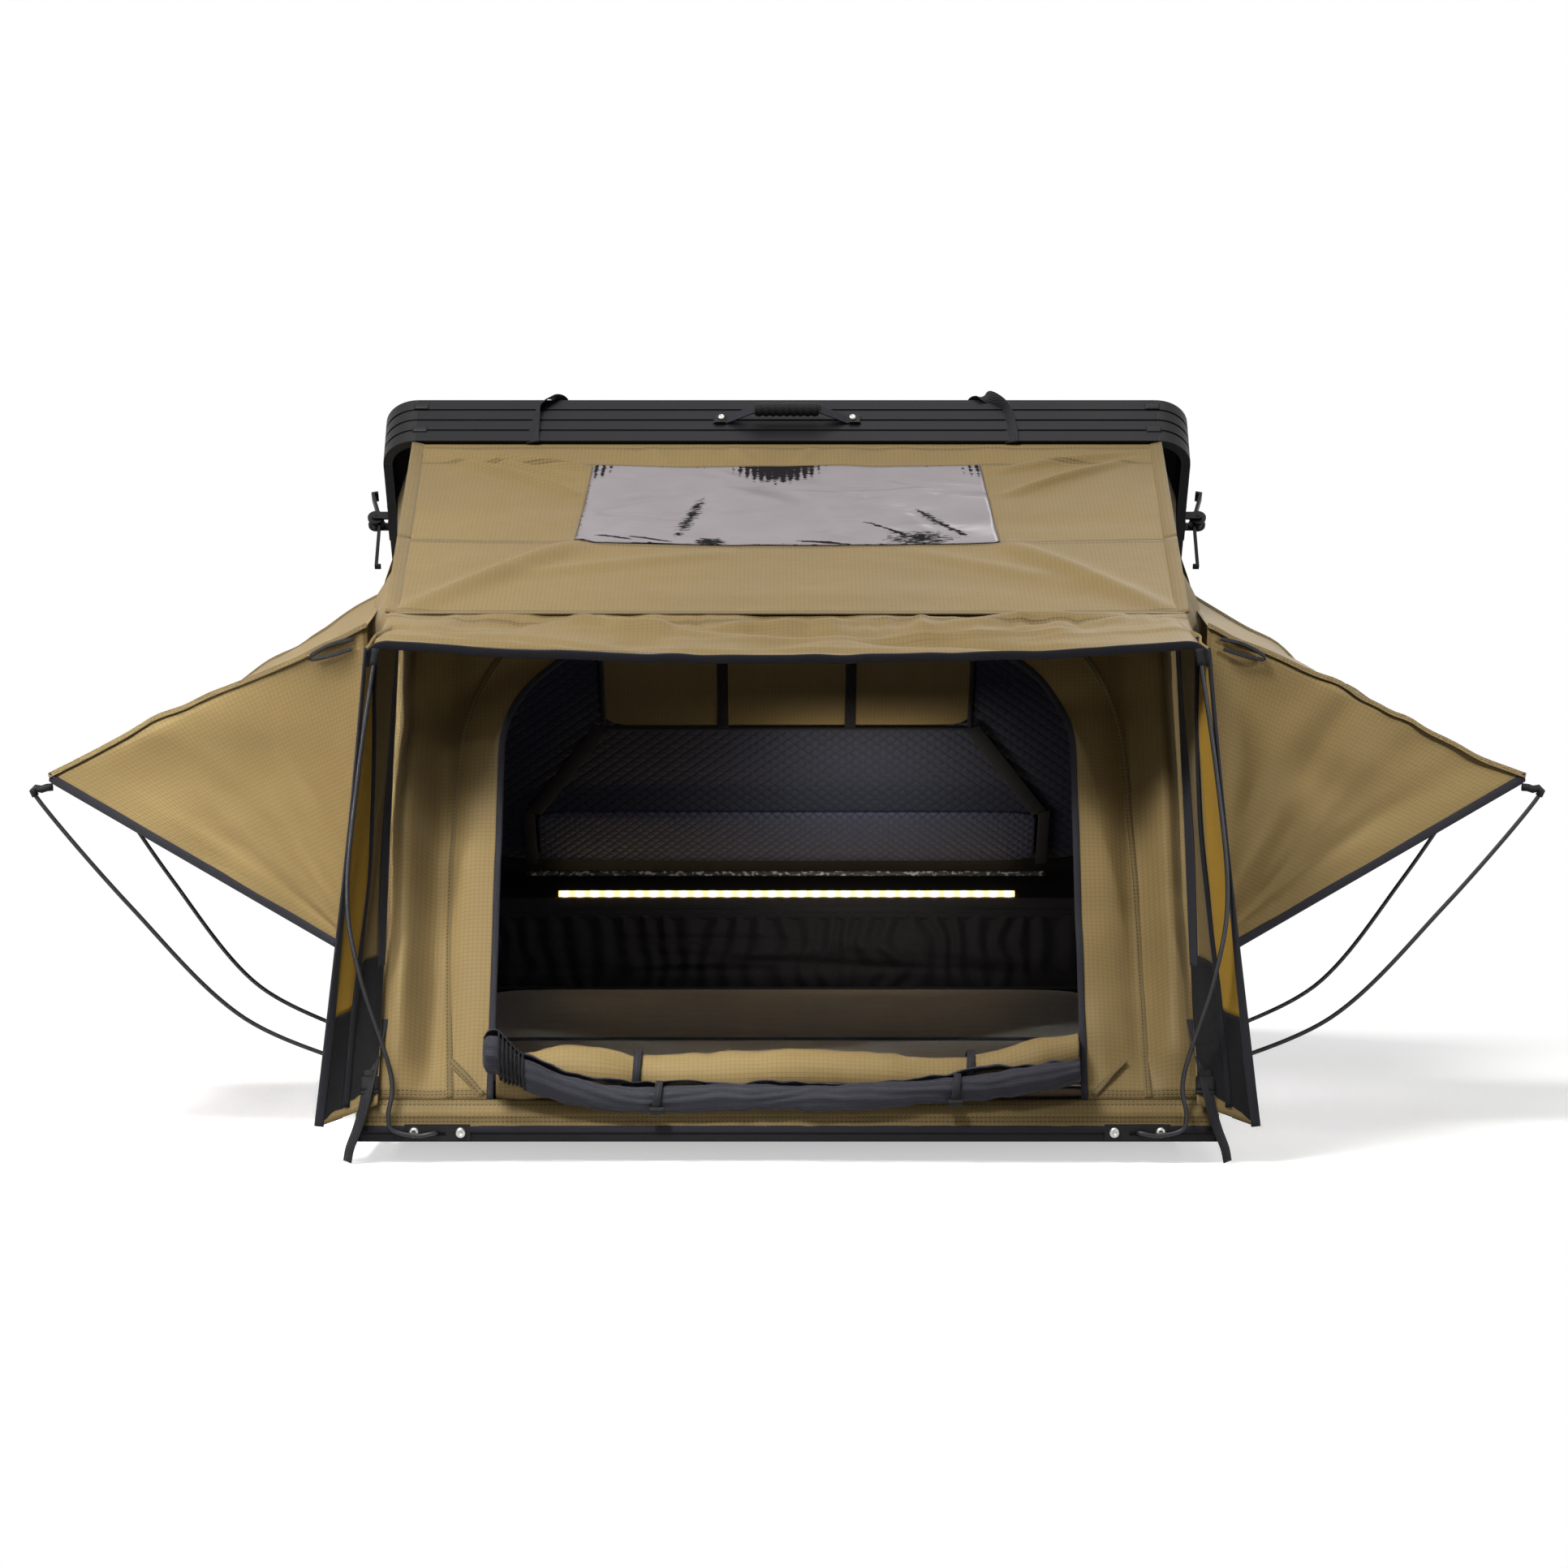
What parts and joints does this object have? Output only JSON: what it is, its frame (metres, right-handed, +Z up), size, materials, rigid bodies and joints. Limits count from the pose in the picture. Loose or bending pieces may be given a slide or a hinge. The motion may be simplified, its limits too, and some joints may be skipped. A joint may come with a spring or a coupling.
{
  "type": "roof top tent",
  "caption": "Hard-shell roof tent, open: black tray and hinged lid, fold-out floor, khaki canopy with sky window, side awnings on spring rods and draw latches.",
  "frame": {"origin": "centre of the tray, on the underside of the mounting channels", "axes": "+X across the tent, +Y from the door to the lid hinge, +Z up"},
  "size_m": [2.3494, 2.2572, 1.1921],
  "materials": {
    "shell": "satin black anodised extrusion",
    "castings": "moulded black",
    "channel": "black powder coat",
    "panel": "light core panel with a dark skin",
    "steel": "bright steel",
    "bow_tube": "drawn tube",
    "canvas": "khaki ripstop canvas",
    "mesh": "dark fly mesh",
    "window": "clear film, creased",
    "mattress": "brown satin cover",
    "liner": "quilted dark lining",
    "webbing": "woven strap",
    "light": "warm light strip"
  },
  "bodies": {
    "base": {"tray_pan": "panel", "tray_sides": "shell", "tray_rear": "shell", "tray_corners": "castings", "front_sill": "shell", "mount_channels": "channel", "channel_bolts": "steel", "tray_mattress": "mattress", "rear_pocket": "liner", "lid_hinge_base": "channel", "lid_hinge_pins": "steel", "fold_plates_base": "channel", "fold_pins": "steel", "latch_keepers": "channel", "rear_sockets": "castings", "rear_rods": "steel", "rear_canvas": "canvas"},
    "lid": {"lid_rails": "shell", "lid_front_rail": "shell", "lid_corners": "castings", "lid_panel": "panel", "lid_hinge_leaf": "channel", "handle_grip": "castings", "handle_strap": "webbing", "handle_plates": "castings", "lid_straps": "webbing", "latch_plates": "steel", "lid_liner": "liner", "organizer": "canvas", "led_strip": "light", "roof_canvas": "canvas", "sky_window": "window"},
    "floor": {"floor_panel": "panel", "floor_front_profile": "shell", "floor_side_rails": "shell", "rod_brackets": "channel", "side_sockets": "castings", "floor_mattress": "mattress", "fold_plates_floor": "channel", "bow_brackets": "channel", "bow_pins": "steel", "front_wall": "canvas", "front_awning": "canvas", "roof_lower": "canvas", "wings": "canvas", "corner_straps": "webbing", "door_roll": "canvas", "mesh_roll": "mesh", "front_rods": "steel"},
    "bow": {"front_bow": "bow_tube"},
    "left_side": {"side_wall_left": "canvas", "side_awning_left": "canvas", "side_rod_left": "steel"},
    "right_side": {"side_wall_right": "canvas", "side_awning_right": "canvas", "side_rod_right": "steel"},
    "left_lever": {"latch_lever_left": "steel"},
    "right_lever": {"latch_lever_right": "steel"},
    "left_hook": {"latch_hook_left": "steel"},
    "right_hook": {"latch_hook_right": "steel"}
  },
  "joints": [
    {"name": "lid_hinge", "type": "hinge", "parent": "base", "child": "lid", "pos_m": [0, 0.639, 0.26], "axis": [1, 0, 0], "range_deg": [0, 42.2], "deforming": ["rear_canvas", "roof_canvas", "sky_window", "rear_rods"]},
    {"name": "floor_fold", "type": "hinge", "parent": "base", "child": "floor", "pos_m": [0, -0.621, 0.127], "axis": [-1, 0, 0], "range_deg": [0, 180], "deforming": ["front_wall", "front_awning", "roof_lower", "wings", "corner_straps", "door_roll", "mesh_roll", "front_rods", "side_wall_left", "side_wall_right", "side_awning_left", "side_awning_right", "side_rod_left", "side_rod_right"]},
    {"name": "bow_fold", "type": "hinge", "parent": "floor", "child": "bow", "pos_m": [0, -0.661, 0.127], "axis": [1, 0, 0], "range_deg": [0, 57.4]},
    {"name": "left_side_tuck", "type": "hinge", "parent": "floor", "child": "left_side", "pos_m": [-0.6215, -1.071, 0.079], "axis": [0, 1, 0], "range_deg": [0, 90]},
    {"name": "right_side_tuck", "type": "hinge", "parent": "floor", "child": "right_side", "pos_m": [0.6215, -1.071, 0.079], "axis": [0, -1, 0], "range_deg": [0, 90]},
    {"name": "left_latch_throw", "type": "hinge", "parent": "lid", "child": "left_lever", "pos_m": [-0.7263, -0.09316, 0.98272], "axis": [0, -0.7385, 0.6743], "range_deg": [0, 165]},
    {"name": "left_hook_swing", "type": "hinge", "parent": "left_lever", "child": "left_hook", "pos_m": [-0.72804, -0.0998, 0.97545], "axis": [0, -0.7385, 0.6743], "range_deg": [-165, 0]},
    {"name": "right_latch_throw", "type": "hinge", "parent": "lid", "child": "right_lever", "pos_m": [0.7263, -0.09316, 0.98272], "axis": [0, 0.7385, -0.6743], "range_deg": [0, 165]},
    {"name": "right_hook_swing", "type": "hinge", "parent": "right_lever", "child": "right_hook", "pos_m": [0.72804, -0.0998, 0.97545], "axis": [0, 0.7385, -0.6743], "range_deg": [-165, 0]}
  ],
  "couplings": [
    {"joint": "bow_fold", "follows": "floor_fold", "ratio": 0.318},
    {"joint": "left_side_tuck", "follows": "floor_fold", "ratio": 0.5},
    {"joint": "right_side_tuck", "follows": "floor_fold", "ratio": 0.5},
    {"joint": "left_hook_swing", "follows": "left_latch_throw", "ratio": -1},
    {"joint": "right_hook_swing", "follows": "right_latch_throw", "ratio": -1}
  ]
}
